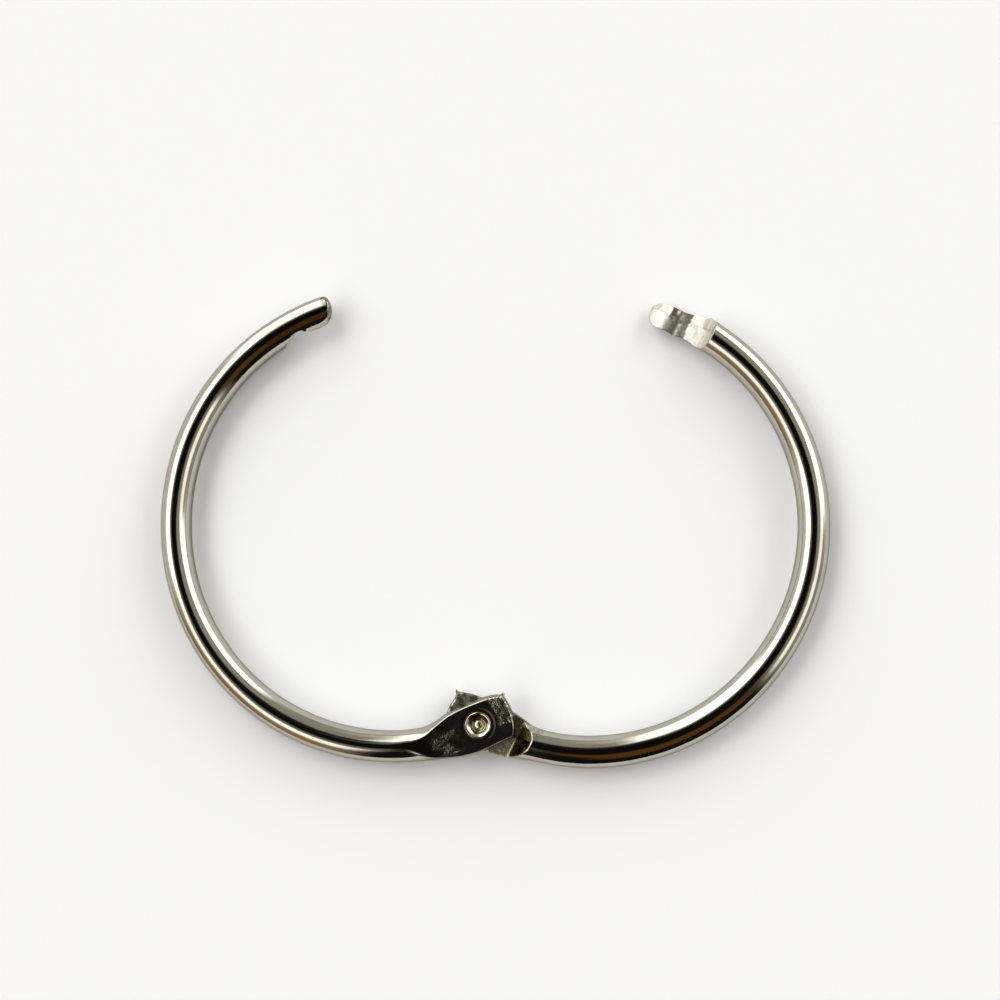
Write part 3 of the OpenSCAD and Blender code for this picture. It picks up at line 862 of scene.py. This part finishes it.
wire_mat = plated("nickel_wire", 0.05, 0.08)
rivet_mat = plated("nickel_rivet", 0.08, 0.12)
for o, m in ((left, wire_mat), (right, wire_mat), (rivet, rivet_mat)):
    o.data.materials.append(m)

# ---------------------------------------------------------------- floor
lo, hi = cad_box
bpy.ops.mesh.primitive_plane_add(size=6.0, location=(0, 0, 0))
floor = bpy.context.object
floor.name = "floor"
fm = bpy.data.materials.new("pale_floor")
fm.use_nodes = True
b = fm.node_tree.nodes["Principled BSDF"]
b.inputs["Base Color"].default_value = (0.90, 0.912, 0.945, 1)
b.inputs["Roughness"].default_value = 0.9
b.inputs["Specular IOR Level"].default_value = 0.1
floor.data.materials.append(fm)

# ---------------------------------------------------------------- light
world = bpy.data.worlds.new("studio")
bpy.context.scene.world = world
world.use_nodes = True
w = Graph(world.node_tree)
world.node_tree.nodes.clear()
direction = w.add("ShaderNodeTexCoord").outputs["Generated"]
sep = w.add("ShaderNodeSeparateXYZ")
w.put(sep.inputs[0], direction)
dx, dy, dz = sep.outputs
AZ = w.math("MULTIPLY", w.math("ARCTAN2", dy, dx), 180 / math.pi)
ZEN = w.math("MULTIPLY", w.math("ARCCOSINE", dz), 180 / math.pi)


def sector(centre, half, soft):
    """1 within half degrees of an azimuth."""
    d = w.math("WRAP", w.math("SUBTRACT", AZ, float(centre)), 180.0, -180.0)
    return w.step(w.math("ABSOLUTE", d), half - soft, half + soft, 1.0, 0.0)


def belt(z0, s0, z1, s1):
    """1 between two angles from the zenith."""
    return w.math("MULTIPLY", w.step(ZEN, z0 - s0, z0 + s0), w.step(ZEN, z1 - s1, z1 + s1, 1.0, 0.0))


def patch(centre, half, soft, z0, s0, z1, s1, slant=0.0):
    global ZEN
    keep = ZEN
    if slant:
        d = w.math("WRAP", w.math("SUBTRACT", AZ, float(centre)), 180.0, -180.0)
        ZEN = w.math("SUBTRACT", ZEN, w.math("MULTIPLY", d, slant))
    f = w.math("MULTIPLY", sector(centre, half, soft), belt(z0, s0, z1, s1))
    ZEN = keep
    return f


col = w.mix(w.step(ZEN, 16, 34), (0.10, 0.10, 0.09, 1), (0.42, 0.415, 0.37, 1))
LIGHTS = [
    # centre, half, soft, z0, s0, z1, s1, slant, colour: what each patch mixes to
    (146, 50, 16, 62, 9, 88, 14, 0, (0.95, 0.93, 0.86, 1)),        # glow under the left softbox
    (38, 34, 12, 72, 8, 104, 14, 0, (1.05, 1.03, 0.96, 1)),        # glow under the right softbox
    (352, 26, 8, 40, 5, 62, 6, 0, (1.90, 1.87, 1.76, 1)),          # right-hand side panel
    (34, 28, 9, 20, 6, 42, 8, 0, (0.45, 0.44, 0.38, 1)),
    (97, 17, 5, 8, 4, 33, 7, 0, (0.02, 0.02, 0.018, 1)),           # dark gap between the softboxes
    (212, 38, 6, 33, 4, 54, 8, 0, (2.1, 2.05, 1.95, 1)),           # left softbox, its tapering end
    (122, 16, 6, 38, 6, 88, 6, 0, (3.4, 3.4, 3.3, 1)),             # left softbox, its low corner
    (151, 36, 6, 31, 5, 62, 7, 0, (3.4, 3.4, 3.3, 1)),             # left softbox
    (38, 28, 7, 52, 6, 86, 5, 0.20, (3.4, 3.4, 3.3, 1)),           # right softbox
    (287, 38, 8, 16, 5, 93, 7, 0, (0.010, 0.010, 0.009, 1)),       # dark screen in front
    (298, 26, 7, 24, 5, 54, 6, 0, (0.150, 0.062, 0.016, 1)),       # brown card
    (270, 13, 7, 18, 4, 36, 5, 0, (0.150, 0.062, 0.016, 1)),       # brown card, its thin end
    (222, 28, 9, 66, 9, 96, 6, 0, (0.42, 0.24, 0.10, 1)),          # brown card, low left
]
for c0, h0, f0, a0, b0, a1, b1, slant, colour in LIGHTS:
    col = w.mix(patch(c0, h0, f0, a0, b0, a1, b1, slant), col, colour)
col = w.mix(w.step(ZEN, 15, 22, 1.0, 0.0), col, (0.008, 0.008, 0.007, 1))
seen = w.add("ShaderNodeLightPath").outputs["Is Camera Ray"]
col = w.mix(seen, col, (0.93, 0.93, 0.925, 1))
bg = w.add("ShaderNodeBackground")
w.put(bg.inputs["Color"], col)
bg.inputs["Strength"].default_value = 1.0
wo = w.add("ShaderNodeOutputWorld")
w.t.links.new(bg.outputs[0], wo.inputs[0])

# ---------------------------------------------------------------- camera
ax, ay, az = (math.radians(v) for v in (-6.573, -5.927, -1.265))
TURN = Matrix.Rotation(az, 3, "Z") @ Matrix.Rotation(ay, 3, "Y") @ Matrix.Rotation(ax, 3, "X")
AWAY = 160.0                                           # camera's distance, mm
place = TURN.transposed() @ Vector((2.364, 26.124, AWAY))
cam = bpy.data.cameras.new("camera")
cam.sensor_width = 36.0
cam.lens = 36.0 * AWAY / 116.34
cam.clip_start, cam.clip_end = 0.005, 20.0
camera = bpy.data.objects.new("camera", cam)
bpy.context.scene.collection.objects.link(camera)
m = TURN.transposed().to_4x4()
m.translation = [(place[k] + PIVOT[k]) / 1000 for k in range(3)]
camera.matrix_world = m
bpy.context.scene.camera = camera
bpy.context.scene.view_settings.view_transform = "Standard"
bpy.context.scene.view_settings.look = "None"
